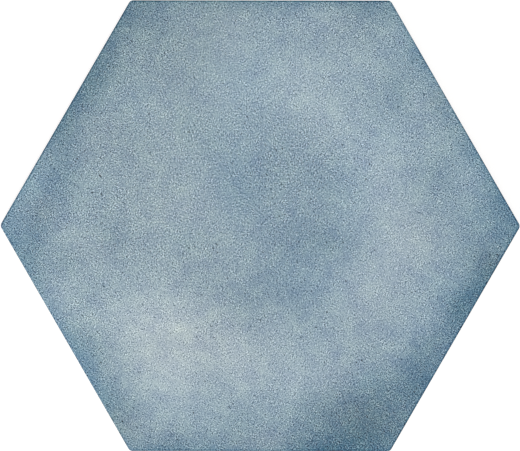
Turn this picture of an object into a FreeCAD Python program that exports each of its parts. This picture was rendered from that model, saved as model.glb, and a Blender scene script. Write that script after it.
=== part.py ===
"""Hexagon floor tile: one piece of pressed and fired porcelain.

The tile lies face up. Its frame stands in the middle of the back, with X from corner to corner,
Y from edge to edge and Z up through the face. Lengths are in millimetres and angles in degrees.

The face is a regular hexagon with blunt corners and a rounded arris. Below the arris the edge drops
square, as the walls of the press leave it, and ends in a chamfer all round the back. The back is a
honeycomb of shallow cells with drafted walls and rounded corners, pressed in so that the adhesive
grips. The ribs between them and the plain border lie in one plane, and the tile rests on them.
"""

import FreeCAD, Part
import math
import os

import Sketcher

SIZES = {
    "across_flats": 175.0,
    "thickness": 9.0,
    "corner_radius": 2.0,
    "arris_radius": 0.8,
    "chamfer_width": 1.2,
    "chamfer_height": 1.6,
    "border_width": 6.8,
    "rib_width": 3.0,
    "cell_depth": 0.8,
    "cell_corner_radius": 2.0,
    "cell_draft": 30.0,
}
SHEET = "sizes"
TILE = "hexagon_tile"
SIDES = 6
# Rows of cells from the middle row to each edge, without the middle row.
ROWS = 4
RHOMBUSES = 3

# A hexagon reaches this much further to its corners than to its sides.
CORNER_REACH = 2 / math.sqrt(3)
# An arris leaves at least a tenth of the blunt corner's radius at the top.
ARRIS_LIMIT = 0.9
LEVEL = 1e-6

# Sizes that follow from the driving ones. An apothem is the distance from the middle to a side.
# Rows of a honeycomb lie sqrt(3) / 2 of the pitch apart, and the outermost row's corners reach the
# border, so the pitch follows from the widths there.
APOTHEM = f"({SHEET}.across_flats / 2)"
BACK_APOTHEM = f"({APOTHEM} - {SHEET}.chamfer_width)"
PITCH = (
    f"(({BACK_APOTHEM} - {SHEET}.border_width + {SHEET}.rib_width / sqrt(3))"
    f" / ({ROWS} * sqrt(3) / 2 + 1 / sqrt(3)))"
)
CELL_APOTHEM = f"(({PITCH} - {SHEET}.rib_width) / 2)"
ARRIS = f"min({SHEET}.arris_radius; {ARRIS_LIMIT} * {SHEET}.corner_radius)"


def add_sheet(doc):
    """Writes the driving sizes into a sheet, one named cell each."""
    sheet = doc.addObject("Spreadsheet::Sheet", SHEET)
    for row, (alias, value) in enumerate(SIZES.items(), start=1):
        sheet.set(f"A{row}", alias)
        sheet.set(f"B{row}", str(value))
        sheet.setAlias(f"B{row}", alias)
    doc.recompute()
    return sheet


def value(sheet, expression):
    """What an expression of the sheet's sizes comes to now."""
    return float(sheet.evalExpression(expression))


def origin_part(body, role):
    """One of the body's own planes or axes, such as XY_Plane."""
    return next(item for item in body.Origin.OriginFeatures if item.Role == role)


def add_sketch(body, name, plane="XY_Plane"):
    """A sketch on one of the body's planes. The plane of the tile's back is XY."""
    sketch = body.newObject("Sketcher::SketchObject", name)
    sketch.AttachmentSupport = [(origin_part(body, plane), "")]
    sketch.MapMode = "FlatFace"
    return sketch


def polar(radius, degrees):
    """A point in the plane of the back, from its distance and its direction."""
    angle = math.radians(degrees)
    return FreeCAD.Vector(radius * math.cos(angle), radius * math.sin(angle), 0)


def drive(sketch, name, constraint, expression):
    """Adds a named constraint whose value follows the sheet."""
    index = sketch.addConstraint(constraint)
    sketch.renameConstraint(index, name)
    sketch.setExpression(f"Constraints.{name}", expression)


def draw_rounded_hexagon(sketch, sheet, middle, first_side, apothem_size, radius_size):
    """A regular hexagon with rounded corners, whose apothem and radius are expressions.

    first_side is the direction in degrees from the middle to the first side. Returns the number of
    the middle point, which the caller ties down.
    """
    turn = 360 / SIDES
    apothem = value(sheet, apothem_size)
    radius = value(sheet, radius_size)
    round_reach = (apothem - radius) * CORNER_REACH
    for side in range(SIDES):
        direction = first_side + side * turn
        outward = polar(radius, direction)
        start = middle + polar(round_reach, direction - turn / 2) + outward
        end = middle + polar(round_reach, direction + turn / 2) + outward
        sketch.addGeometry(Part.LineSegment(start, end), False)
    for side in range(SIDES):
        direction = first_side + side * turn
        round_middle = middle + polar(round_reach, direction + turn / 2)
        circle = Part.Circle(round_middle, FreeCAD.Vector(0, 0, 1), radius)
        start = math.radians(direction)
        sketch.addGeometry(Part.ArcOfCircle(circle, start, start + math.radians(turn)), False)
    centre = sketch.addGeometry(Part.Point(middle), True)

    for side in range(SIDES):
        arc = SIDES + side
        sketch.addConstraint(Sketcher.Constraint("Tangent", side, 2, arc, 1))
        sketch.addConstraint(Sketcher.Constraint("Tangent", arc, 2, (side + 1) % SIDES, 1))
    for side in range(1, SIDES):
        sketch.addConstraint(Sketcher.Constraint("Equal", SIDES, SIDES + side))
    drive(sketch, "corner", Sketcher.Constraint("Radius", SIDES, radius), radius_size)
    for side in range(SIDES):
        along = math.radians(first_side + side * turn + 90)
        sketch.addConstraint(Sketcher.Constraint("Angle", side, along))
        distance = Sketcher.Constraint("Distance", centre, 1, side, apothem)
        drive(sketch, f"apothem_{side}", distance, apothem_size)
    return centre


def level_edges(shape, height):
    """Names of the edges that lie wholly at one height."""
    return [
        f"Edge{number}"
        for number, edge in enumerate(shape.Edges, start=1)
        if abs(edge.BoundBox.ZMin - height) < LEVEL and abs(edge.BoundBox.ZMax - height) < LEVEL
    ]


def press_slab(doc, body, sheet):
    """The hexagon slab with its blunt corners and rounded arris."""
    outline = add_sketch(body, "outline_sketch")
    middle = FreeCAD.Vector(0, 0, 0)
    half_turn = 360 / SIDES / 2
    corner = f"{SHEET}.corner_radius"
    centre = draw_rounded_hexagon(outline, sheet, middle, half_turn, APOTHEM, corner)
    outline.addConstraint(Sketcher.Constraint("Coincident", centre, 1, -1, 1))
    slab = body.newObject("PartDesign::Pad", "slab")
    slab.Profile = outline
    slab.setExpression("Length", f"{SHEET}.thickness")
    doc.recompute()

    arris = body.newObject("PartDesign::Fillet", "arris")
    arris.Base = (slab, level_edges(slab.Shape, sheet.thickness))
    arris.setExpression("Radius", ARRIS)
    doc.recompute()


def chamfer_back(doc, body, sheet):
    """Bevels the foot of one edge from end to end, and repeats that round the back.

    The section is a triangle of twice the chamfer's size, so that its long side passes through both
    edges of the chamfer and its other sides stay clear of the slab.
    """
    run = 2 * sheet.chamfer_width
    rise = 2 * sheet.chamfer_height
    inner = FreeCAD.Vector(value(sheet, BACK_APOTHEM), 0, 0)
    outer = inner + FreeCAD.Vector(run, 0, 0)
    upper = outer + FreeCAD.Vector(0, rise, 0)
    section = add_sketch(body, "chamfer_sketch", "YZ_Plane")
    section.addGeometry(Part.LineSegment(inner, outer), False)
    section.addGeometry(Part.LineSegment(outer, upper), False)
    section.addGeometry(Part.LineSegment(upper, inner), False)
    for line in range(3):
        section.addConstraint(Sketcher.Constraint("Coincident", line, 2, (line + 1) % 3, 1))
    section.addConstraint(Sketcher.Constraint("PointOnObject", 0, 1, -1))
    section.addConstraint(Sketcher.Constraint("Horizontal", 0))
    section.addConstraint(Sketcher.Constraint("Vertical", 1))
    inset = Sketcher.Constraint("DistanceX", -1, 1, 0, 1, inner.x)
    drive(section, "back_apothem", inset, BACK_APOTHEM)
    along = Sketcher.Constraint("DistanceX", 0, 1, 0, 2, run)
    drive(section, "run", along, f"2 * {SHEET}.chamfer_width")
    up = Sketcher.Constraint("DistanceY", 1, 1, 1, 2, rise)
    drive(section, "rise", up, f"2 * {SHEET}.chamfer_height")

    bevel = body.newObject("PartDesign::Pocket", "bevel")
    bevel.Profile = section
    bevel.Type = "ThroughAll"
    bevel.SideType = "Symmetric"
    doc.recompute()
    ring = body.newObject("PartDesign::PolarPattern", "back_chamfer")
    ring.Originals = [bevel]
    ring.Axis = (origin_part(body, "Z_Axis"), [""])
    ring.Angle = 360
    ring.Occurrences = SIDES
    body.Tip = ring
    doc.recompute()
    return ring


def sink_cell(doc, body, sheet, name, steps):
    """Sinks one cell, so many steps of the pitch along X from the middle."""
    sketch = add_sketch(body, f"{name}_sketch")
    middle = FreeCAD.Vector(steps * value(sheet, PITCH), 0, 0)
    corner = f"{SHEET}.cell_corner_radius"
    centre = draw_rounded_hexagon(sketch, sheet, middle, 0, CELL_APOTHEM, corner)
    if steps:
        sketch.addConstraint(Sketcher.Constraint("PointOnObject", centre, 1, -1))
        reach = Sketcher.Constraint("DistanceX", -1, 1, centre, 1, middle.x)
        drive(sketch, "reach", reach, f"{steps} * {PITCH}")
    else:
        sketch.addConstraint(Sketcher.Constraint("Coincident", centre, 1, -1, 1))
    cell = body.newObject("PartDesign::Pocket", name)
    cell.Profile = sketch
    cell.Reversed = True
    cell.setExpression("Length", f"{SHEET}.cell_depth")
    cell.setExpression("TaperAngle", f"-{SHEET}.cell_draft")
    doc.recompute()
    return cell


def press_cells(doc, body, sheet):
    """Sinks the middle cell and, round it, three rhombuses of cells that fill the hexagon.

    A rhombus starts from the cell beside the middle one. It runs out along X, and sideways along
    the outline's first side, whose direction is 120 degrees from X.
    """
    sink_cell(doc, body, sheet, "middle_cell", 0)
    first = sink_cell(doc, body, sheet, "first_cell", 1)
    outward = body.newObject("PartDesign::LinearPattern", "outward")
    outward.Direction = (origin_part(body, "X_Axis"), [""])
    outward.setExpression("Length", f"{ROWS - 1} * {PITCH}")
    outward.Occurrences = ROWS
    sideways = body.newObject("PartDesign::LinearPattern", "sideways")
    sideways.Direction = (doc.outline_sketch, ["Edge1"])
    sideways.setExpression("Length", f"{ROWS} * {PITCH}")
    sideways.Occurrences = ROWS + 1
    round_middle = body.newObject("PartDesign::PolarPattern", "round_middle")
    round_middle.Axis = (origin_part(body, "Z_Axis"), [""])
    round_middle.Angle = 360
    round_middle.Occurrences = RHOMBUSES
    honeycomb = body.newObject("PartDesign::MultiTransform", "honeycomb")
    honeycomb.Originals = [first]
    honeycomb.Transformations = [outward, sideways, round_middle]
    body.Tip = honeycomb
    doc.recompute()


def check(doc, body):
    """Stops if any object of the document failed, or if the tile isn't one sound solid."""
    failed = [item.Name for item in doc.Objects if {"Invalid", "Error"} & set(item.State)]
    if failed:
        raise RuntimeError(f"these objects failed: {failed}")
    shape = body.Shape
    if shape.isNull() or not shape.isValid() or len(shape.Solids) != 1:
        raise RuntimeError("the tile isn't one valid solid")


def main():
    doc = FreeCAD.newDocument("hexagon_floor_tile")
    sheet = add_sheet(doc)
    body = doc.addObject("PartDesign::Body", TILE)
    body.Label = TILE
    press_slab(doc, body, sheet)
    blank = chamfer_back(doc, body, sheet)
    press_cells(doc, body, sheet)
    check(doc, body)

    cells = 1 + RHOMBUSES * ROWS * (ROWS + 1)
    pressed_out = (blank.Shape.Volume - body.Shape.Volume) / cells
    print(f"pitch {value(sheet, PITCH):.2f} mm, {cells} cells of {pressed_out:.2f} mm3 each")
    print(f"tile {body.Shape.Volume / 1000:.2f} cm3, {len(body.Shape.Faces)} faces")
    os.makedirs("parts", exist_ok=True)
    body.Shape.exportStep(f"parts/{body.Label}.step")


main()
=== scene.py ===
"""Dresses the hexagon floor tile: its matt mottled glaze, its bare fired sides and its keyed back.

Sizes are in millimetres here and turn into metres as each mesh is made.
"""

import math

import bpy
import numpy as np
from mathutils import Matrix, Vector, noise
from mathutils.geometry import delaunay_2d_cdt


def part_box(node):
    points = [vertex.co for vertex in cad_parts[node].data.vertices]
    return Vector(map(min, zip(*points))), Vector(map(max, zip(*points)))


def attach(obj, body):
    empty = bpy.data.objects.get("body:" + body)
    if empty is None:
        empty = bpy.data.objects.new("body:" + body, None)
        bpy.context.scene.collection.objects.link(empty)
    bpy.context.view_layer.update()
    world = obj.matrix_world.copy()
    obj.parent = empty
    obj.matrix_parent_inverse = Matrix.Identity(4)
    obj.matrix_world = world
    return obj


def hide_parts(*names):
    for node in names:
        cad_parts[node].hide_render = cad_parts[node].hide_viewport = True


MM = 0.001
NODE = "hexagon_tile"
SIDES = 6
TURN = math.tau / SIDES
CORNER_REACH = 2 / math.sqrt(3)

# The tile's small sizes, as its solid has them.
ARRIS_RADIUS = 0.8
CHAMFER_WIDTH = 1.2
CHAMFER_HEIGHT = 1.6
BORDER_WIDTH = 6.8
RIB_WIDTH = 3.0
CELL_DEPTH = 0.8
CELL_CORNER = 2.0
CELL_DRAFT = math.radians(30)
CELL_ROWS = 4

# The mesh: the face's rings, of which the last few take on the blunt corners, the steps along each
# half of a corner, and the rings of the arris, the sides and the chamfer.
FACE_RINGS = 140
BLEND_RINGS = 14
CORNER_STEPS = 4
ARRIS_RINGS = 6
SIDE_RINGS = 5
CHAMFER_RINGS = 2
# The chamfer's corners are no sharper than this radius.
CHAMFER_CORNER = 0.2
# The steps along the straight part of a cell's side, and along each half of its corners.
CELL_SIDE_STEPS = 3
CELL_CORNER_STEPS = 2
# Each ring of a cell, as its inset from the mouth's sharp edge and its height above the rib tops.
SHOULDER = ((-0.14, 0.0), (-0.04, 0.03), (0.05, 0.12))
FLOOR_FILLET = ((-0.09, -0.13), (0.02, -0.04), (0.18, 0.0))
FLOOR_RINGS = 3
# Points of the back this near to each other would count as one.
MERGE_DISTANCE = 1e-7
# Faces that meet at more than this angle are shaded with an edge between them.
SHARP_ANGLE = math.radians(32)

# Unevenness, as the width of its features and where its noise is taken from, and how deep each goes.
SWELL = (26, 3.1)
SWELL_DEPTH = 0.1
RIPPLE = (3.2, 7.7)
RIPPLE_DEPTH = 0.025
CELL_RELIEF = (2.5, 5.3)
CELL_RELIEF_DEPTH = 0.05
SIDE_RELIEF = (2.2, 9.9)
SIDE_RELIEF_DEPTH = 0.06
# How many octaves this noise has, how they weaken and how much finer each is than the last.
RELIEF_OCTAVES = 2
OCTAVE_FALLOFF = 1.0
OCTAVE_LACUNARITY = 2.0
# How far the face falls towards its rim, and over what width.
RIM_FALL = 0.12
RIM_FALL_WIDTH = 3.5
# Heights this near to each other count as one.
SAME_HEIGHT = 0.01
# The least distance from the middle, so that a direction can be worked out there too.
LEAST_REACH = 1e-6

# Tones and colours are levels from 0 to 255, as a screen shows them.
WHITE_LEVEL = 255
# The power that turns a share of white on a screen into light, close to a screen's own curve.
SCREEN_POWER = 2.235
# What the matt surface's gloss adds to its colour under even light, as a share of white light.
GLOSS = 0.032
GLAZE_TONE = 162.4
# Soft clouds of the glaze: place, half-length and half-width, turn in degrees, change of tone.
CLOUDS = (
    (-44, -37, 15, 10, 0, 18),
    (-36, -56, 10, 10, 0, 15),
    (-24, -41, 12, 11, 0, 8),
    (2, -52, 20, 10, 0, 9),
    (-76, -27, 10, 7, -60, 10),
    (-36, -70, 14, 8, 0, 3),
    (15, 56, 13, 9, -20, 12),
    (31, 37, 12, 7, -50, 9),
    (50, 19, 15, 10, 90, 11),
    (51, -8, 12, 12, 0, 12),
    (39, -28, 11, 9, 0, 8),
    (-40, 48, 6, 12, 0, 5),
    (-29, 8, 9, 18, 0, 7),
    (-70, -7, 5, 5, 0, 5),
    (-12, 68, 7, 6, 0, 5),
    (5, 20, 17, 9, 0, -7),
    (-7, 11, 7, 4, -50, -6),
    (24, -5, 11, 8, 0, -12),
    (8, -13, 8, 14, 0, -6),
    (12, -28, 14, 7, 0, -7),
    (-9, -31, 8, 8, 0, -6),
    (-58, -5, 5, 6, 0, -10),
    (-27, -7, 6, 5, 0, -8),
    (44, -77, 11, 9, 0, -34),
    (26, -87, 16, 7, 0, -30),
    (62, -58, 11, 6, 60, -25),
    (78, -34, 9, 4, 60, -30),
    (90, -15, 8, 8, 0, -18),
    (97, 4, 9, 12, 0, -23),
    (-99, -6, 8, 9, 0, -13),
    (-77, 18, 10, 5, 75, -15),
    (-68, 55, 14, 6, 60, -22),
    (-78, 38, 7, 5, 60, -15),
    (-49, 84, 8, 7, 0, -14),
    (4, 88, 45, 3, 0, -8),
    (-37, -89, 17, 5, 0, -21),
    (5, -85, 5, 4, 0, 9),
    (-70, -51, 14, 7, -60, -11),
    (-58, -76, 12, 7, -60, -13),
    (54, 53, 6, 6, 0, -6),
    (69, 18, 8, 8, 0, -11),
    (85, 25, 12, 4, -60, -14),
    (-37, 64, 8, 13, 0, -7),
    (-52, 61, 9, 10, 0, -4),
    (50, 82, 12, 7, 0, -9),
    (-56, 76, 8, 5, 60, -9),
    (-86, -6, 4, 11, 0, -14),
    (-66, -27, 4, 3, 0, -6),
    (-90, -16, 5, 5, 0, -7),
    (63, 50, 4, 4, 0, 9),
    (-53, -68, 5, 4, 0, -8),
    (-8, -78, 7, 4, 20, -8),
    (-10, -47, 4, 8, 0, 7),
    (-24, -23, 7, 5, 0, -5),
    (46, -64, 10, 5, 0, -7),
    (66, -48, 5, 5, 60, -5),
    (82, 0, 6, 7, 0, -3),
    (81, 18, 6, 5, 0, 8),
    (70, 48, 8, 3, -60, -8),
    (28, 16, 5, 7, 0, -6),
    (28, -8, 4, 5, 0, -5),
    (-30, 40, 4, 5, 0, -5),
    (-12, 49, 10, 5, 0, 6),
    (-40, 78, 11, 6, 0, -5),
    (24, 80, 10, 4, 0, 6),
    (38, 64, 8, 6, 0, 6),
    (58, -60, 6, 4, 60, -6),
    (25, -71, 10, 6, 20, -14),
    (84, -24, 9, 4, 60, -14),
    (-52, -84, 6, 4, 0, 8),
    (30, -87, 9, 4, 0, -7),
    (53, 77, 5, 5, 0, 6),
    (12, -63, 4, 5, 0, 8),
    (91, -7, 5, 4, -40, 8),
    (-69, -42, 8, 5, -60, -8),
    (28, -59, 8, 4, 0, 4),
    (-35, -46, 6, 4, 0, -7),
    (31, 87, 14, 3, 0, -10),
    (6, -35, 4, 8, 0, 5),
    (79, -15, 6, 8, -20, -4),
    (57, 51, 5, 5, 0, -4),
    (-74, -15, 4, 4, 0, -12),
    (-20, 33, 4, 5, 0, -6),
    (-4, -59, 4, 5, 0, 5),
    (-32, 17, 4, 4, 0, -4),
    (-50, 33, 8, 5, 0, -4),
    (72, -30, 5, 4, 60, -11),
    (62, 66, 4, 3, -60, -10),
    (-62, -13, 6, 5, 0, 4),
    (-20, 74, 3, 12, 0, -5),
    (45, -56, 5, 6, 0, -6),
    (-66, 59, 6, 3, 60, -8),
    (56, -53, 4, 3, 0, 4),
    (48, 0, 4, 4, 0, -5),
)
# Where the glaze is warmer or, below nought, bluer: places and shapes as above, change of red less blue.
TINTS = (
    (-38, 72, 26, 18, 0, 5),
    (-42, 14, 17, 26, 0, 4),
    (-24, -6, 12, 11, 0, 4),
    (-28, -5, 7, 6, 0, -4),
    (-32, -45, 18, 13, 0, 7),
    (-98, -4, 8, 14, 0, -6),
    (-88, 18, 7, 5, 0, -5),
    (-70, -53, 20, 4, -60, -7),
    (-4, -43, 14, 19, 0, 2.5),
    (40, -75, 11, 6, 0, 9),
    (35, 14, 5, 14, 0, -3),
    (-9, 17, 6, 13, 0, -3),
    (22, -22, 12, 7, 0, -3),
    (62, 66, 8, 4, -60, -3),
    (70, 50, 3, 3, 0, 4),
    (90, -15, 4, 4, 0, 4),
    (44, -30, 12, 14, 0, 3),
    (-85, 6, 4, 4, 0, 6),
    (2, -85, 12, 4, 0, 6),
    (-38, -83, 8, 4, 0, 3),
    (-54, -77, 5, 5, 0, 9),
    (92, 6, 8, 10, 0, -4),
    (41, -61, 4, 4, 0, -5),
    (89, -13, 5, 6, 0, 3),
    (-4, 58, 8, 12, 0, -4),
    (76, -27, 8, 7, 0, -4),
    (-61, 35, 9, 8, 0, 3),
    (61, -3, 7, 9, 0, 4),
    (-12, 80, 8, 8, 0, 3),
    (34, 78, 9, 8, 0, 3),
    (33, -60, 8, 7, 0, 3),
    (83, 26, 8, 6, -60, -4),
    (60, -41, 7, 7, 60, -2.5),
    (0, -88, 60, 4, 0, -1.8),
    (-49, 48, 7, 7, 0, -2.5),
    (49, 36, 7, 6, 0, -2.5),
    (-66, -10, 9, 7, 0, 3),
)
BASE_TINT = -1.9
# Where the glaze is greener or, below nought, pinker: places and shapes as above.
GREENS = (
    (-40, 60, 55, 45, 0, 0.35),
    (50, -35, 45, 45, 0, -0.4),
)
# All of these places are shifted by noise: how far, its width, its octaves and where it is taken from.
WARP = 3.0
WARP_WIDTH = 14
WARP_OCTAVES = 3
WARP_PLACES = (1.3, 4.9)
# How much darker the arris of each side is, anticlockwise from the one at 30 degrees.
# This is a little thinner glaze and mostly painted shade: the sides turned away from the key light are
# drawn darker.
ARRIS_SHADE_AND_GLAZE_DROPS = (35, 70, 51, 6, 45, 50)
# How much darker and bluer the glaze is at the rim, and how far in this reaches.
RIM_TONE_DROP = 12
RIM_TONE_WIDTH = 3.2
RIM_TINT_DROP = 4
RIM_TINT_WIDTH = 1.5

# How a tone becomes red, green and blue: bluer where it is dark, greyer where it is pale.
TONE_SLOPES = (1.154, 0.966, 0.86)
TONE_BASES = (-42.2, 8.3, 37.3)
# What a tint and a green add to red, green and blue.
TINT_SHARES = (0.5, 0.0, -0.5)
GREEN_SHARES = (-0.5, 1.0, -0.5)

# Each noise of a material is the width of its features, its detail and its roughness.
MOTTLE = (6, 5, 0.72)
MOTTLE_STRENGTH = 0.215
STRAY_TINT = (6, 4, 0.6)
STRAY_TINT_STRENGTH = 0.04
STRAY_GREEN = (6, 3, 0.6)
STRAY_GREEN_STRENGTH = 0.033
# The grain has this noise, and each finer width of it is so many times finer than the last.
GRAIN = (0.5, 2.0, 1.0)
GRAIN_LACUNARITY = 1.4
GRAIN_STRENGTH = 1.45
# The grain is stronger and weaker in small patches of this noise.
GRAIN_PATCH = (1.2, 1, 0.5)
GRAIN_PATCHINESS = 3
# The grain's share in red, green and blue.
GRAIN_COLOUR = (1.045, 1.0, 0.965)
# Where the grain is rougher or, below nought, smoother: places and shapes as above, change in share.
GRAIN_PATCHES = (
    (14, 22, 14, 22, 0, 0.3),
    (-84, 4, 24, 24, 0, 0.08),
    (-50, 50, 20, 20, 0, 0.12),
    (-46, 4, 16, 12, 0, 0.22),
    (-24, 34, 10, 10, 0, 0.12),
    (62, -5, 14, 20, 0, -0.1),
    (28, -40, 26, 14, 0, -0.14),
    (-32, -64, 22, 14, 0, -0.22),
)
# The grain is deeper than it is high, and fades where the glaze is paler than this tone.
GRAIN_DEPTH = 0.8
GRAIN_FADES_FROM = 164
GRAIN_FADING = 1.7
# Sparse short dark marks: how far apart they are, how many times longer than wide, which way they run,
# their radius across and the share of it that is fully dark.
MARK_SPACING = 2.3
MARK_LENGTH = 2.4
MARK_TURN = (0, 0, math.radians(-48))
MARK_RADIUS = 0.25
MARK_CORE = 0.4
# The share of places without a mark, and how much darker the darkest mark is.
MARK_BARE = 0.5
MARK_DROP = 0.62
# How wide and strong the waves in the marks' outlines are, and the patches of noise that hold marks.
MARK_WAVE_WIDTH = 1.6
MARK_WAVE = 1.2
MARK_PATCH = (13, 2, 0.5)
MARK_PATCH_EDGES = (-0.05, 0.1)
# Noise is turned about the upright, so that its own grid lies along no edge of the tile.
NOISE_TURN = (0, 0, math.radians(27))

# The glaze ends on the sides at a ragged line: how far below the arris, how ragged and how soft.
GLAZE_LINE_DEPTH = 1.0
GLAZE_LINE_RAGGED = (4, 4, 0.6)
GLAZE_LINE_WANDER = 1.6
GLAZE_LINE_EDGE = 0.12
# The bare body below it, and its flecks.
BODY_COLOUR = (190, 183, 172)
BODY_FLECK_COLOUR = (172, 164, 152)
BODY_FLECK = (0.8, 3, 0.6)
BODY_FLECK_EDGES = (-0.2, 0.2)
# The thin kiln wash on the parts of the back that stand lowest: from which height down, and where.
WASH_COLOUR = (226, 224, 218)
WASH_HEIGHTS = (0.25, 0.02)
WASH_PATCH = (9, 6, 0.7)
WASH_PATCH_EDGES = (-0.12, 0.10)
WASH_COVER = 0.8

# How strongly the tile shines, how rough its glaze and its body are, and how fine relief shows on them.
SPECULAR = 0.35
GLAZE_ROUGHNESS = 0.75
GLAZE_ROUGHNESS_NOISE = (1.2, 3, 0.6)
GLAZE_ROUGHNESS_SPREAD = 0.25
BODY_ROUGHNESS = 0.86
BODY_PITS = (0.5, 2, 0.6)
FINE_RELIEF = (1.6, 3, 0.6)
BUMP_STRENGTH = 0.5
BUMP_HEIGHT = 0.05

# A Mix node's sockets for its two values and its result, by what it mixes.
MIX_SOCKETS = {"FLOAT": (2, 3, 0), "RGBA": (6, 7, 2)}

# The photograph's frame, and where its middle and turn put the tile.
PHOTO_WIDTH = 520
PHOTO_HEIGHT = 451
TILE_WIDTH_PX = 520.6
TILE_MIDDLE_PX = (260.2, 225.8)
PHOTO_ROLL = math.radians(0.08)
CAMERA_HEIGHT = 3000
SENSOR = 36
# How far the camera sees, in metres.
VIEW_REACH = 100

# The floor: its tone, its glow to the camera, its roughness, its reach and its drop below the tile.
FLOOR_LEVEL = 175
FLOOR_GLOW = 0.72
FLOOR_ROUGHNESS = 0.9
FLOOR_REACH = 4000
FLOOR_DROP = 0.05
# The world's strength as light, and as what the camera sees.
WORLD_LIGHT = 0.62
WORLD_SEEN = 1.0
# Softboxes: name, azimuth and elevation in degrees, distance and width in millimetres, and power.
SOFTBOXES = (
    ("key", 250, 42, 1600, 900, 11),
    ("fill", 60, 60, 1600, 1200, 5),
)


def on_screen(levels):
    """Levels from 0 to 255 as shares of white."""
    return tuple(level / WHITE_LEVEL for level in levels)


def opaque(colour):
    return (*colour, 1.0)


class Sizes:
    """The tile's main sizes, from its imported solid."""

    def __init__(self):
        low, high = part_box(NODE)
        self.apothem = high.y / MM
        self.thickness = (high.z - low.z) / MM
        sharp_reach = self.apothem * CORNER_REACH
        # A blunt corner of radius r ends r * (CORNER_REACH - 1) short of the sharp one.
        self.corner = (sharp_reach - high.x / MM) / (CORNER_REACH - 1)
        back = self.apothem - CHAMFER_WIDTH
        field = back - BORDER_WIDTH + RIB_WIDTH * CORNER_REACH / 2
        self.pitch = field / (CELL_ROWS * math.sqrt(3) / 2 + CORNER_REACH / 2)
        self.cell_apothem = (self.pitch - RIB_WIDTH) / 2


def hexagon_ring(apothem, radius, steps, corner_steps):
    """Points round a hexagon with rounded corners, anticlockwise from the middle of one corner.

    Each side has so many steps, of which corner_steps at each end lie on its corners' arcs.
    """
    points = []
    middle_reach = (apothem - radius) * CORNER_REACH
    for side in range(SIDES):
        corner = side * TURN
        normal = corner + TURN / 2
        for step in range(steps):
            to_end = steps - step
            if step <= corner_steps and corner_steps:
                at, angle = corner, corner + TURN / 2 * step / corner_steps
            elif to_end < corner_steps:
                at, angle = corner + TURN, corner + TURN - TURN / 2 * to_end / corner_steps
            else:
                share = (step - corner_steps) / (steps - 2 * corner_steps)
                start = np.array((math.cos(corner), math.sin(corner)))
                end = np.array((math.cos(corner + TURN), math.sin(corner + TURN)))
                outward = radius * np.array((math.cos(normal), math.sin(normal)))
                points.append(middle_reach * (start + (end - start) * share) + outward)
                continue
            points.append(
                middle_reach * np.array((math.cos(at), math.sin(at)))
                + radius * np.array((math.cos(angle), math.sin(angle)))
            )
    return np.array(points)


class TileMesh:
    """Gathers the tile's points and faces, ring by ring."""

    def __init__(self):
        self.points = []
        self.faces = []

    def add_ring(self, outline, height):
        """Adds a ring of points at one height. Returns their numbers."""
        first = len(self.points)
        heights = np.broadcast_to(height, len(outline))
        self.points.extend((x, y, z) for (x, y), z in zip(outline, heights))
        return range(first, len(self.points))

    def add_strip(self, inner, outer):
        """Joins two rings of as many points. From outside the solid, inner lies above outer."""
        count = len(inner)
        for here in range(count):
            there = (here + 1) % count
            self.faces.append((inner[here], outer[here], outer[there], inner[there]))

    def add_ceiling(self, ring, middle):
        """Closes a ring with triangles to one point, facing down."""
        count = len(ring)
        for here in range(count):
            there = (here + 1) % count
            self.faces.append((middle, ring[there], ring[here]))


def face_ring(sizes, ring):
    """One ring of the face. Rings near the rim take on its blunt corners bit by bit."""
    share = ring / FACE_RINGS
    apothem = (sizes.apothem - ARRIS_RADIUS) * share
    sharp = hexagon_ring(apothem, 0, ring, 0)
    blend = (ring - FACE_RINGS + BLEND_RINGS) / BLEND_RINGS
    if blend <= 0:
        return sharp
    blunt = hexagon_ring(apothem, sizes.corner - ARRIS_RADIUS, ring, CORNER_STEPS)
    return sharp + (blunt - sharp) * blend


def add_face(mesh, sizes):
    """The walking face: a middle point and rings of triangles. Returns its outermost ring."""
    mesh.points.append((0, 0, sizes.thickness))
    inner = range(1)
    for ring in range(1, FACE_RINGS + 1):
        outer = mesh.add_ring(face_ring(sizes, ring), sizes.thickness)
        for side in range(SIDES):
            for step in range(ring):
                here = side * ring + step
                there = (here + 1) % len(outer)
                beside = (side * (ring - 1) + step) % len(inner)
                mesh.faces.append((outer[here], outer[there], inner[beside]))
                if step < ring - 1:
                    after = (beside + 1) % len(inner)
                    mesh.faces.append((inner[beside], outer[there], inner[after]))
        inner = outer
    return inner


def add_walls(mesh, sizes, rim):
    """The arris, the sides and the chamfer, down from the face's rim. Returns the lowest ring."""
    profile = []
    for ring in range(1, ARRIS_RINGS + 1):
        angle = math.pi / 2 * ring / ARRIS_RINGS
        inset = ARRIS_RADIUS * (1 - math.sin(angle))
        profile.append((inset, sizes.thickness - ARRIS_RADIUS * (1 - math.cos(angle))))
    top = sizes.thickness - ARRIS_RADIUS
    for ring in range(1, SIDE_RINGS + 1):
        profile.append((0, top + (CHAMFER_HEIGHT - top) * ring / SIDE_RINGS))
    for ring in range(1, CHAMFER_RINGS + 1):
        share = ring / CHAMFER_RINGS
        profile.append((CHAMFER_WIDTH * share, CHAMFER_HEIGHT * (1 - share)))
    above = rim
    for inset, height in profile:
        radius = max(sizes.corner - inset, CHAMFER_CORNER)
        outline = hexagon_ring(sizes.apothem - inset, radius, FACE_RINGS, CORNER_STEPS)
        below = mesh.add_ring(outline, height)
        mesh.add_strip(above, below)
        above = below
    return above


def cell_middles(sizes):
    """The middles of the honeycomb's cells, row by row."""
    for row in range(-CELL_ROWS, CELL_ROWS + 1):
        cells = 2 * CELL_ROWS + 1 - abs(row)
        for place in range(cells):
            x = (place - (cells - 1) / 2) * sizes.pitch
            yield np.array((x, row * sizes.pitch * math.sqrt(3) / 2))


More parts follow.
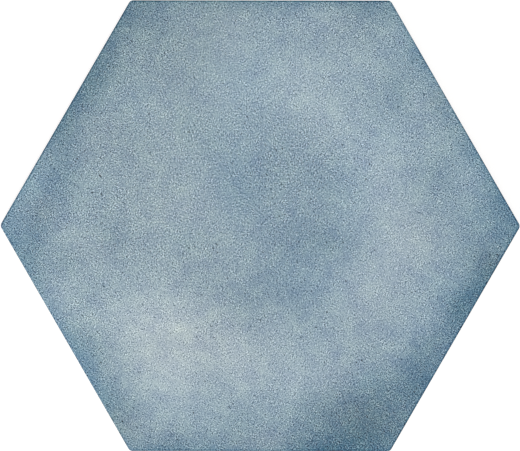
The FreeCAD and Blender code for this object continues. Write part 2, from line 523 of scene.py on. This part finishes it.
def cell_outline(sizes, middle, inset):
    """A cell's outline so far inside its mouth. It has flats to either side and a corner on top."""
    steps = CELL_SIDE_STEPS + 2 * CELL_CORNER_STEPS
    radius = max(CELL_CORNER - inset, 0)
    ring = hexagon_ring(sizes.cell_apothem - inset, radius, steps, CELL_CORNER_STEPS)
    turned = np.column_stack((-ring[:, 1], ring[:, 0]))
    return middle + turned


def add_cell(mesh, sizes, middle):
    """One cell of the back, from its rounded mouth to its floor. Returns its mouth."""
    draft = CELL_DEPTH * math.tan(CELL_DRAFT)
    profile = list(SHOULDER)
    profile += [(draft + inset, CELL_DEPTH + rise) for inset, rise in FLOOR_FILLET]
    mouth = above = None
    for inset, height in profile:
        ring = mesh.add_ring(cell_outline(sizes, middle, inset), height)
        if above is None:
            mouth = ring
        else:
            mesh.add_strip(above, ring)
        above = ring
    edge = cell_outline(sizes, middle, profile[-1][0])
    for ring_number in range(1, FLOOR_RINGS):
        share = 1 - ring_number / FLOOR_RINGS
        ring = mesh.add_ring(middle + (edge - middle) * share, CELL_DEPTH)
        mesh.add_strip(above, ring)
        above = ring
    mesh.points.append((*middle, CELL_DEPTH))
    mesh.add_ceiling(above, len(mesh.points) - 1)
    return mouth


def add_back(mesh, sizes, rim):
    """The rib tops and the border, round the mouths of the cells."""
    loops = [rim] + [add_cell(mesh, sizes, middle) for middle in cell_middles(sizes)]
    numbers = [number for loop in loops for number in loop]
    owner = [which for which, loop in enumerate(loops) for _ in loop]
    flat = [Vector(mesh.points[number][:2]) for number in numbers]
    edges = []
    first = 0
    for loop in loops:
        count = len(loop)
        edges += [(first + step, first + (step + 1) % count) for step in range(count)]
        first += count
    _, _, triangles, sources, _, _ = delaunay_2d_cdt(flat, edges, [], 1, MERGE_DISTANCE)
    for triangle in triangles:
        corners = [sources[corner][0] for corner in triangle]
        owners = {owner[corner] for corner in corners}
        if len(owners) == 1 and owners != {0}:
            continue
        face = [numbers[corner] for corner in corners]
        mesh.faces.append(tuple(face[::-1]))


def noise_at(points, width, offset, octaves=RELIEF_OCTAVES):
    """Smooth noise from about -1 to 1 at each point, with features so many millimetres wide."""
    shift = Vector((offset, -offset, 2 * offset))
    places = [Vector(point) / width + shift for point in points]
    settings = (OCTAVE_FALLOFF, OCTAVE_LACUNARITY, octaves)
    return np.array([noise.fractal(place, *settings) for place in places])


def hollows_at(points, width, offset):
    """How hollow an uneven surface is at each point, from 0 on its heights to 1 in its hollows."""
    return 0.5 - 0.5 * np.clip(noise_at(points, width, offset), -1, 1)


def nearest_side(sizes, xy):
    """How far inside the tile's straight edges each point lies, and which side is its nearest."""
    angles = (np.arange(SIDES) + 0.5) * TURN
    reach = xy @ np.array((np.cos(angles), np.sin(angles)))
    return sizes.apothem - np.max(reach, axis=1), np.argmax(reach, axis=1)


def wear_down(points, sizes):
    """Lets the face swell and fall a little, and leaves the sides and the cells' floors uneven.

    Every change goes into the tile, so that it stays inside its solid's box.
    """
    xy = points[:, :2]
    height = points[:, 2].copy()
    inset, _ = nearest_side(sizes, xy)
    on_top = height > sizes.thickness - ARRIS_RADIUS
    sink = SWELL_DEPTH * hollows_at(points, *SWELL)
    sink += RIPPLE_DEPTH * hollows_at(points, *RIPPLE)
    sink += RIM_FALL * np.exp(-np.maximum(inset - ARRIS_RADIUS, 0) / RIM_FALL_WIDTH)
    share = np.clip((height - sizes.thickness + ARRIS_RADIUS) / ARRIS_RADIUS, 0, 1)
    points[:, 2] -= np.where(on_top, sink * share, 0)

    on_floor = (height > CELL_DEPTH / 2) & (height < CELL_DEPTH + SAME_HEIGHT)
    on_floor &= inset > BORDER_WIDTH
    relief = CELL_RELIEF_DEPTH * noise_at(points, *CELL_RELIEF)
    points[:, 2] += np.where(on_floor, relief, 0)

    on_side = (inset < CHAMFER_WIDTH) & (height <= sizes.thickness - ARRIS_RADIUS) & (height > 0)
    dents = SIDE_RELIEF_DEPTH * hollows_at(points, *SIDE_RELIEF)
    below_arris = sizes.thickness - ARRIS_RADIUS - height
    dents = dents * np.clip(below_arris / ARRIS_RADIUS, 0, 1)
    outward = xy / np.maximum(np.linalg.norm(xy, axis=1), LEAST_REACH)[:, None]
    points[:, :2] -= np.where(on_side, dents, 0)[:, None] * outward


def warped(points):
    """The points' places, shifted a little by noise, so that what is laid on them has ragged edges."""
    flat = np.column_stack((points[:, :2], np.zeros(len(points))))
    shifts = [WARP * noise_at(flat, WARP_WIDTH, offset, WARP_OCTAVES) for offset in WARP_PLACES]
    return flat[:, :2] + np.column_stack(shifts)


def add_clouds(places, base, clouds):
    """A base value at each place, with soft oval clouds added to it."""
    total = np.full(len(places), float(base))
    for middle_x, middle_y, length, width, turn, change in clouds:
        x = places[:, 0] - middle_x
        y = places[:, 1] - middle_y
        cos = math.cos(math.radians(turn))
        sin = math.sin(math.radians(turn))
        along = (x * cos + y * sin) / length
        across = (y * cos - x * sin) / width
        total += change * np.exp(-(along**2 + across**2) / 2)
    return total


def glaze_tones(points, sizes):
    """The glaze's tone, tint, green and strength of grain at each point. Its rim is darker, with painted
    shade on each arris.
    """
    places = warped(points)
    grain = GRAIN_STRENGTH * add_clouds(places, 1, GRAIN_PATCHES)
    tone = add_clouds(places, GLAZE_TONE, CLOUDS)
    tint = add_clouds(places, BASE_TINT, TINTS)
    green = add_clouds(places, 0, GREENS)
    inset, side = nearest_side(sizes, points[:, :2])
    tone -= RIM_TONE_DROP * np.exp(-inset / RIM_TONE_WIDTH)
    tint -= RIM_TINT_DROP * np.exp(-inset / RIM_TINT_WIDTH)
    # Painted shade on the arris, deepest on the sides turned away from the key light, over a little
    # thinning of the glaze.
    tone -= np.array(ARRIS_SHADE_AND_GLAZE_DROPS)[side] * np.clip(1 - inset / ARRIS_RADIUS, 0, 1)
    return tone / WHITE_LEVEL, tint / WHITE_LEVEL, green / WHITE_LEVEL, grain


def make_tile(sizes):
    """The tile as one closed mesh that stands for its solid."""
    gathered = TileMesh()
    rim = add_face(gathered, sizes)
    foot = add_walls(gathered, sizes, rim)
    add_back(gathered, sizes, foot)
    points = np.array(gathered.points, float)
    layers = dict(zip(("tone", "tint", "green", "grain"), glaze_tones(points, sizes)))
    wear_down(points, sizes)
    mesh = bpy.data.meshes.new("glazed_tile")
    mesh.from_pydata((points * MM).tolist(), [], gathered.faces)
    for name, values in layers.items():
        attribute = mesh.attributes.new(name, "FLOAT", "POINT")
        attribute.data.foreach_set("value", values.astype(np.float32))
    mesh.shade_smooth()
    mesh.set_sharp_from_angle(angle=SHARP_ANGLE)
    mesh.validate()
    piece = bpy.data.objects.new("glazed_tile", mesh)
    bpy.context.scene.collection.objects.link(piece)
    return piece


class Shader:
    """A material's node tree, with short calls that add nodes and join them."""

    def __init__(self, name):
        self.material = bpy.data.materials.new(name)
        self.material.use_nodes = True
        self.tree = self.material.node_tree
        self.surface = self.tree.nodes["Principled BSDF"]
        self.place = self.node("ShaderNodeTexCoord").outputs["Object"]
        inputs = (("Vector", self.place), ("Rotation", NOISE_TURN))
        self.turned = self.node("ShaderNodeMapping", inputs).outputs["Vector"]

    def node(self, kind, inputs=(), **settings):
        """Adds a node with its settings. inputs pairs a socket's name or number with its value."""
        made = self.tree.nodes.new(kind)
        for name, setting in settings.items():
            setattr(made, name, setting)
        for socket, given in inputs:
            self.give(made.inputs[socket], given)
        return made

    def give(self, socket, given):
        """Joins another node's output to a socket, or sets the socket's own value."""
        if isinstance(given, bpy.types.NodeSocket):
            self.tree.links.new(given, socket)
        else:
            socket.default_value = given

    def math(self, operation, first, second=0.0, third=0.0):
        inputs = ((0, first), (1, second), (2, third))
        return self.node("ShaderNodeMath", inputs, operation=operation).outputs[0]

    def colour_math(self, operation, first, second=(0, 0, 0), third=(0, 0, 0)):
        """Works on three numbers at once. A single number counts for all three."""
        inputs = ((0, first), (1, second), (2, third))
        return self.node("ShaderNodeVectorMath", inputs, operation=operation).outputs[0]

    def attribute(self, name):
        """A value that the mesh holds at each of its points."""
        return self.node("ShaderNodeAttribute", attribute_name=name).outputs["Fac"]

    def noise(self, width, detail, roughness, lacunarity=2.0, dimensions="3D"):
        """Noise centred on nought, with features so many millimetres wide."""
        inputs = (
            ("Vector", self.turned),
            ("Scale", 1 / (width * MM)),
            ("Detail", detail),
            ("Roughness", roughness),
            ("Lacunarity", lacunarity),
        )
        made = self.node("ShaderNodeTexNoise", inputs, noise_dimensions=dimensions)
        return self.math("SUBTRACT", made.outputs["Fac"], 0.5)

    def step(self, given, low, high):
        """Rises smoothly from 0 to 1 as a value goes from low to high."""
        inputs = (("Value", given), ("From Min", low), ("From Max", high))
        made = self.node("ShaderNodeMapRange", inputs, interpolation_type="SMOOTHSTEP")
        return made.outputs["Result"]

    def mix(self, share, first, second, kind="RGBA"):
        """Mixes two colours, or two numbers where kind is FLOAT, by a share from 0 to 1."""
        first_socket, second_socket, result = MIX_SOCKETS[kind]
        inputs = ((0, share), (first_socket, first), (second_socket, second))
        return self.node("ShaderNodeMix", inputs, data_type=kind).outputs[result]


def glaze_colour(shader, grain):
    """The glaze as a screen shows it: cloudy, mottled, finely grained and a little warm or blue."""
    tone = with_noise(shader, "tone", MOTTLE, MOTTLE_STRENGTH)
    colour = shader.colour_math("MULTIPLY_ADD", tone, TONE_SLOPES, on_screen(TONE_BASES))
    full_share = 1 + GRAIN_FADING * GRAIN_FADES_FROM / WHITE_LEVEL
    fading = shader.math("MULTIPLY_ADD", tone, -GRAIN_FADING, full_share)
    grain = shader.math("MULTIPLY", grain, shader.math("MINIMUM", fading, 1.0))
    colour = shader.colour_math("MULTIPLY_ADD", grain, GRAIN_COLOUR, colour)
    tint = with_noise(shader, "tint", STRAY_TINT, STRAY_TINT_STRENGTH)
    colour = shader.colour_math("MULTIPLY_ADD", tint, TINT_SHARES, colour)
    green = with_noise(shader, "green", STRAY_GREEN, STRAY_GREEN_STRENGTH)
    colour = shader.colour_math("MULTIPLY_ADD", green, GREEN_SHARES, colour)
    return shader.colour_math("SUBTRACT", colour, dark_marks(shader))


def with_noise(shader, name, noise_settings, strength):
    """A value that the mesh holds, with noise of some strength added to it."""
    stray = shader.noise(*noise_settings)
    return shader.math("MULTIPLY_ADD", stray, strength, shader.attribute(name))


def dark_marks(shader):
    """How much the glaze is darkened by its short marks, each as dark as its own random number."""
    wave_inputs = (("Vector", shader.turned), ("Scale", 1 / (MARK_WAVE_WIDTH * MM)))
    wave = shader.node("ShaderNodeTexNoise", wave_inputs).outputs["Color"]
    place = shader.colour_math("MULTIPLY_ADD", wave, (MARK_WAVE * MM,) * 3, shader.place)
    grid_inputs = (("Vector", place), ("Rotation", MARK_TURN), ("Scale", (MARK_LENGTH, 1, 1)))
    grid = shader.node("ShaderNodeMapping", grid_inputs, vector_type="TEXTURE").outputs["Vector"]
    cell_inputs = (("Vector", grid), ("Scale", 1 / (MARK_SPACING * MM)))
    cells = shader.node("ShaderNodeTexVoronoi", cell_inputs, voronoi_dimensions="2D").outputs
    radius = MARK_RADIUS / MARK_SPACING
    near = shader.step(cells["Distance"], radius, MARK_CORE * radius)
    darkness = shader.step(cells["Color"], MARK_BARE, 1)
    patches = shader.step(shader.noise(*MARK_PATCH), *MARK_PATCH_EDGES)
    gathered = shader.math("MULTIPLY", darkness, patches)
    return shader.math("MULTIPLY", shader.math("MULTIPLY", near, gathered), MARK_DROP)


def uneven_grain(shader):
    """The glaze's fine grain about nought, stronger in some patches and deeper than it is high."""
    fine = shader.noise(*GRAIN, GRAIN_LACUNARITY, "2D")
    strength = shader.math("MULTIPLY_ADD", shader.noise(*GRAIN_PATCH), GRAIN_PATCHINESS, 1.0)
    strength = shader.math("MULTIPLY", strength, shader.attribute("grain"))
    grain = shader.math("MULTIPLY", fine, strength)
    hollow = shader.math("MULTIPLY", grain, -GRAIN_DEPTH)
    return shader.math("MULTIPLY_ADD", grain, hollow, grain)


def body_colour(shader, height):
    """The bare body as a screen shows it: flecked, with a patchy wash where it is lowest."""
    flecked = shader.step(shader.noise(*BODY_FLECK), *BODY_FLECK_EDGES)
    fleck_colour, plain_colour, wash_colour = (
        opaque(on_screen(colour)) for colour in (BODY_FLECK_COLOUR, BODY_COLOUR, WASH_COLOUR)
    )
    body = shader.mix(flecked, fleck_colour, plain_colour)
    low = shader.step(height, *(edge * MM for edge in WASH_HEIGHTS))
    patchy = shader.step(shader.noise(*WASH_PATCH), *WASH_PATCH_EDGES)
    wash = shader.math("MULTIPLY", shader.math("MULTIPLY", low, patchy), WASH_COVER)
    return shader.mix(wash, body, wash_colour)


def make_porcelain(sizes):
    """The tile's material: matt glaze above a ragged line on the sides, and bare body below it."""
    shader = Shader("glazed_porcelain")
    split = shader.node("ShaderNodeSeparateXYZ", (("Vector", shader.place),))
    height = split.outputs["Z"]
    grain = uneven_grain(shader)

    line = (sizes.thickness - ARRIS_RADIUS - GLAZE_LINE_DEPTH) * MM
    wander = shader.math("MULTIPLY", shader.noise(*GLAZE_LINE_RAGGED), GLAZE_LINE_WANDER * MM)
    above = shader.math("ADD", shader.math("SUBTRACT", height, line), wander)
    glazed = shader.step(above, -GLAZE_LINE_EDGE * MM, GLAZE_LINE_EDGE * MM)

    colour = shader.mix(glazed, body_colour(shader, height), glaze_colour(shader, grain))
    light = shader.node("ShaderNodeGamma", (("Color", colour), ("Gamma", SCREEN_POWER)))
    dulled = shader.colour_math("SUBTRACT", light.outputs["Color"], (GLOSS, GLOSS, GLOSS))
    shader.give(shader.surface.inputs["Base Color"], dulled)

    shader.give(shader.surface.inputs["Specular IOR Level"], SPECULAR)
    uneven = shader.noise(*GLAZE_ROUGHNESS_NOISE)
    rough_glaze = shader.math("MULTIPLY_ADD", uneven, GLAZE_ROUGHNESS_SPREAD, GLAZE_ROUGHNESS)
    rough = shader.mix(glazed, BODY_ROUGHNESS, rough_glaze, "FLOAT")
    shader.give(shader.surface.inputs["Roughness"], rough)

    pitted = shader.mix(glazed, shader.noise(*BODY_PITS), grain, "FLOAT")
    relief = shader.math("ADD", pitted, shader.noise(*FINE_RELIEF))
    bump_inputs = (("Strength", BUMP_STRENGTH), ("Distance", BUMP_HEIGHT * MM), ("Height", relief))
    bump = shader.node("ShaderNodeBump", bump_inputs)
    shader.give(shader.surface.inputs["Normal"], bump.outputs["Normal"])
    return shader.material


def make_floor(sizes):
    """A plain pale floor, white to the camera, that still takes the tile's shadow.

    It is open where the tile's back lies and clear from below, so that the back is lit and seen.
    """
    gathered = TileMesh()
    opening = hexagon_ring(sizes.apothem - CHAMFER_WIDTH, 0, 1, 0)
    far_edge = hexagon_ring(FLOOR_REACH, 0, 1, 0)
    inner = gathered.add_ring(opening, -FLOOR_DROP)
    gathered.add_strip(inner, gathered.add_ring(far_edge, -FLOOR_DROP))
    mesh = bpy.data.meshes.new("floor")
    mesh.from_pydata((np.array(gathered.points) * MM).tolist(), [], gathered.faces)
    floor = bpy.data.objects.new("floor", mesh)
    bpy.context.scene.collection.objects.link(floor)
    shader = Shader("pale_floor")
    floor_light = (FLOOR_LEVEL / WHITE_LEVEL) ** SCREEN_POWER
    shader.give(shader.surface.inputs["Base Color"], opaque((floor_light, floor_light, floor_light)))
    shader.give(shader.surface.inputs["Roughness"], FLOOR_ROUGHNESS)
    shader.give(shader.surface.inputs["Emission Color"], (1, 1, 1, 1))
    rays = shader.node("ShaderNodeLightPath").outputs
    seen = shader.math("ADD", rays["Is Camera Ray"], rays["Is Glossy Ray"])
    seen = shader.math("ADD", seen, rays["Is Transmission Ray"])
    glow = shader.math("MULTIPLY", seen, FLOOR_GLOW)
    shader.give(shader.surface.inputs["Emission Strength"], glow)
    below = shader.node("ShaderNodeNewGeometry").outputs["Backfacing"]
    clear = shader.node("ShaderNodeBsdfTransparent").outputs["BSDF"]
    sides = ((0, below), (1, shader.surface.outputs["BSDF"]), (2, clear))
    one_sided = shader.node("ShaderNodeMixShader", sides).outputs["Shader"]
    shader.give(shader.tree.nodes["Material Output"].inputs["Surface"], one_sided)
    mesh.materials.append(shader.material)


def add_softbox(name, azimuth, elevation, distance, width, power):
    """A square area light that points at the tile from so many degrees round and up."""
    light = bpy.data.lights.new(name, "AREA")
    light.size = width * MM
    light.energy = power
    lamp = bpy.data.objects.new(name, light)
    around = math.radians(azimuth)
    up = math.radians(elevation)
    level = math.cos(up)
    direction = Vector((math.cos(around) * level, math.sin(around) * level, math.sin(up)))
    lamp.location = direction * distance * MM
    lamp.rotation_euler = direction.to_track_quat("Z", "Y").to_euler()
    bpy.context.scene.collection.objects.link(lamp)


def light_scene():
    """Even studio light, a little stronger from the lower left of the photograph."""
    world = bpy.data.worlds.new("studio")
    bpy.context.scene.world = world
    world.use_nodes = True
    tree = world.node_tree
    background = tree.nodes["Background"]
    background.inputs["Color"].default_value = (1, 1, 1, 1)
    rays = tree.nodes.new("ShaderNodeLightPath").outputs
    strength = tree.nodes.new("ShaderNodeMapRange")
    seen = rays["Is Camera Ray"]
    for kind in ("Is Glossy Ray", "Is Transmission Ray"):
        either = tree.nodes.new("ShaderNodeMath")
        tree.links.new(seen, either.inputs[0])
        tree.links.new(rays[kind], either.inputs[1])
        seen = either.outputs[0]
    tree.links.new(seen, strength.inputs["Value"])
    strength.inputs["To Min"].default_value = WORLD_LIGHT
    strength.inputs["To Max"].default_value = WORLD_SEEN
    tree.links.new(strength.outputs["Result"], background.inputs["Strength"])
    for softbox in SOFTBOXES:
        add_softbox(*softbox)


def place_camera(sizes):
    """Looks straight down from far off, with the tile framed as in the photograph."""
    camera = bpy.data.cameras.new("camera")
    camera.sensor_width = SENSOR
    camera.clip_end = VIEW_REACH
    mm_per_px = 2 * sizes.apothem * CORNER_REACH / TILE_WIDTH_PX
    face_distance = CAMERA_HEIGHT - sizes.thickness
    camera.lens = SENSOR * face_distance / (PHOTO_WIDTH * mm_per_px)
    eye = bpy.data.objects.new("camera", camera)
    right = (PHOTO_WIDTH / 2 - TILE_MIDDLE_PX[0]) * mm_per_px
    up = (TILE_MIDDLE_PX[1] - PHOTO_HEIGHT / 2) * mm_per_px
    eye.location = Vector((right, up, CAMERA_HEIGHT)) * MM
    eye.rotation_euler = (0, 0, PHOTO_ROLL)
    bpy.context.scene.collection.objects.link(eye)
    bpy.context.scene.camera = eye


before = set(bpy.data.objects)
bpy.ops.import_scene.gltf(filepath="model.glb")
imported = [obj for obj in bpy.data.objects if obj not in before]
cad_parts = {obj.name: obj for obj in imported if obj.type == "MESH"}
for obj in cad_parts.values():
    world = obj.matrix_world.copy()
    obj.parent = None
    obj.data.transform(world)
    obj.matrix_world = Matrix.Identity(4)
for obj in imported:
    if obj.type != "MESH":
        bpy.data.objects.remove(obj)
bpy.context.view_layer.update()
tile_sizes = Sizes()
place_camera(tile_sizes)
tile = make_tile(tile_sizes)
tile.data.materials.append(make_porcelain(tile_sizes))
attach(tile, "root")
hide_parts(NODE)
make_floor(tile_sizes)
light_scene()
bpy.context.scene.view_settings.view_transform = "Standard"
